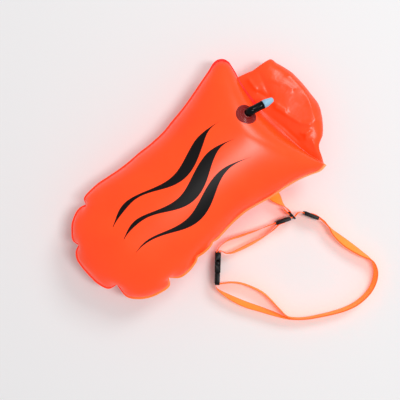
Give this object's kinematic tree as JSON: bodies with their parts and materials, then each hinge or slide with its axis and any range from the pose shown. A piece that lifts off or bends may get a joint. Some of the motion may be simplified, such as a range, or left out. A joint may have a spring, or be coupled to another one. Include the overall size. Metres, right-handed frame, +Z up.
{
  "type": "open water swim buoy",
  "caption": "Inflated high-visibility swim buoy with an inner roll-top dry pouch, oral valve, webbing leash and adjustable waist belt with side-release buckle.",
  "frame": {"origin": "on the floor under the middle of the bag, where the belly rests", "axes": "+X along the bag towards its roll-top neck, +Z up out of the valve's panel, the belt on the -Y side"},
  "size_m": [0.5522, 0.5431, 0.1318],
  "materials": {
    "panel_sheet": "satin coated PVC sheet with a fine embossed weave",
    "pouch_film": "glossy thin coated film, translucent at the edges",
    "webbing": "woven polyester webbing, fluorescent orange",
    "buckle": "moulded black acetal",
    "valve_base": "translucent red soft vinyl",
    "valve_tube": "glossy black soft vinyl",
    "mouthpiece": "translucent pale blue polythene",
    "stiffener": "plain strip"
  },
  "bodies": {
    "bag": {"front_panel": "panel_sheet", "back_panel": "panel_sheet", "dry_liner": "pouch_film", "rolltop_neck": "pouch_film", "rolled_mouth": "pouch_film", "rolltop_stiffener": "stiffener", "rolltop_tab_left": "webbing", "rolltop_tab_right": "webbing", "rolltop_buckle_socket": "buckle", "valve_flange": "valve_base", "valve_elbow": "valve_tube", "valve_pin": "mouthpiece", "leash_patch": "panel_sheet", "leash_strap": "webbing"},
    "valve_seal": {"valve_seal": "valve_tube"},
    "mouthpiece": {"mouthpiece": "mouthpiece"},
    "rolltop_plug": {"rolltop_buckle_plug": "buckle"},
    "rolltop_prong_upper": {"rolltop_buckle_prong_upper": "buckle"},
    "rolltop_prong_lower": {"rolltop_buckle_prong_lower": "buckle"},
    "ring": {"leash_ring": "buckle"},
    "belt": {"belt_strap_short": "webbing", "belt_tail_short": "webbing", "belt_strap_long": "webbing", "belt_tail_long": "webbing", "belt_buckle_socket": "buckle"},
    "short_adjuster": {"belt_adjuster_short": "buckle"},
    "long_adjuster": {"belt_adjuster_long": "buckle"},
    "belt_plug": {"belt_buckle_plug": "buckle"},
    "belt_prong_upper": {"belt_buckle_prong_upper": "buckle"},
    "belt_prong_lower": {"belt_buckle_prong_lower": "buckle"}
  },
  "joints": [
    {"name": "valve_rise", "type": "slide", "parent": "bag", "child": "valve_seal", "axis": [0.9556, -0.2382, -0.1736], "range_m": [0, 0.003]},
    {"name": "mouthpiece_twist", "type": "hinge", "parent": "valve_seal", "child": "mouthpiece", "pos_m": [0.22884, 0.01801, 0.12115], "axis": [0.9556, -0.2382, -0.1736], "range_deg": [0, 180]},
    {"name": "rolltop_buckle_pull", "type": "slide", "parent": "bag", "child": "rolltop_plug", "axis": [0, -1, 0], "range_m": [0, 0.02], "deforming": ["rolltop_tab_right", "rolltop_buckle_prong_upper", "rolltop_buckle_prong_lower"]},
    {"name": "rolltop_prong_upper_squeeze", "type": "hinge", "parent": "rolltop_plug", "child": "rolltop_prong_upper", "pos_m": [0.222, -0.0161, 0.0263], "axis": [-1, 0, 0], "range_deg": [0, 12], "stiffness_Nm_per_rad": 0.3},
    {"name": "rolltop_prong_lower_squeeze", "type": "hinge", "parent": "rolltop_plug", "child": "rolltop_prong_lower", "pos_m": [0.222, -0.0161, 0.0073], "axis": [1, 0, 0], "range_deg": [0, 12], "stiffness_Nm_per_rad": 0.3},
    {"name": "ring_swing", "type": "hinge", "parent": "bag", "child": "ring", "pos_m": [0.1362, -0.1712, 0.0175], "axis": [0, 0, 1], "range_deg": [-5, 20]},
    {"name": "belt_swing", "type": "hinge", "parent": "ring", "child": "belt", "pos_m": [0.1362, -0.1858, 0.0175], "axis": [0, 0, 1], "range_deg": [-8, 30]},
    {"name": "short_adjuster_slide", "type": "slide", "parent": "belt", "child": "short_adjuster", "axis": [-0.92, 0.392, 0], "range_m": [0, 0.012], "deforming": ["belt_tail_short"]},
    {"name": "long_adjuster_slide", "type": "slide", "parent": "belt", "child": "long_adjuster", "axis": [0.4332, -0.9013, 0], "range_m": [0, 0.008], "deforming": ["belt_tail_long"]},
    {"name": "belt_buckle_pull", "type": "slide", "parent": "belt", "child": "belt_plug", "axis": [-0.6955, -0.7185, 0], "range_m": [0, 0.028], "deforming": ["belt_strap_long", "belt_buckle_prong_upper", "belt_buckle_prong_lower"]},
    {"name": "belt_prong_upper_squeeze", "type": "hinge", "parent": "belt_plug", "child": "belt_prong_upper", "pos_m": [-0.04664, -0.16158, 0.0263], "axis": [-0.7185, 0.6955, 0], "range_deg": [0, 12], "stiffness_Nm_per_rad": 0.3},
    {"name": "belt_prong_lower_squeeze", "type": "hinge", "parent": "belt_plug", "child": "belt_prong_lower", "pos_m": [-0.04664, -0.16158, 0.0073], "axis": [0.7185, -0.6955, 0], "range_deg": [0, 12], "stiffness_Nm_per_rad": 0.3}
  ],
  "couplings": [
    {"joint": "mouthpiece_twist", "follows": "valve_rise", "rad_per_m": 1047.2},
    {"joint": "rolltop_prong_lower_squeeze", "follows": "rolltop_prong_upper_squeeze", "ratio": 1},
    {"joint": "belt_prong_lower_squeeze", "follows": "belt_prong_upper_squeeze", "ratio": 1}
  ]
}
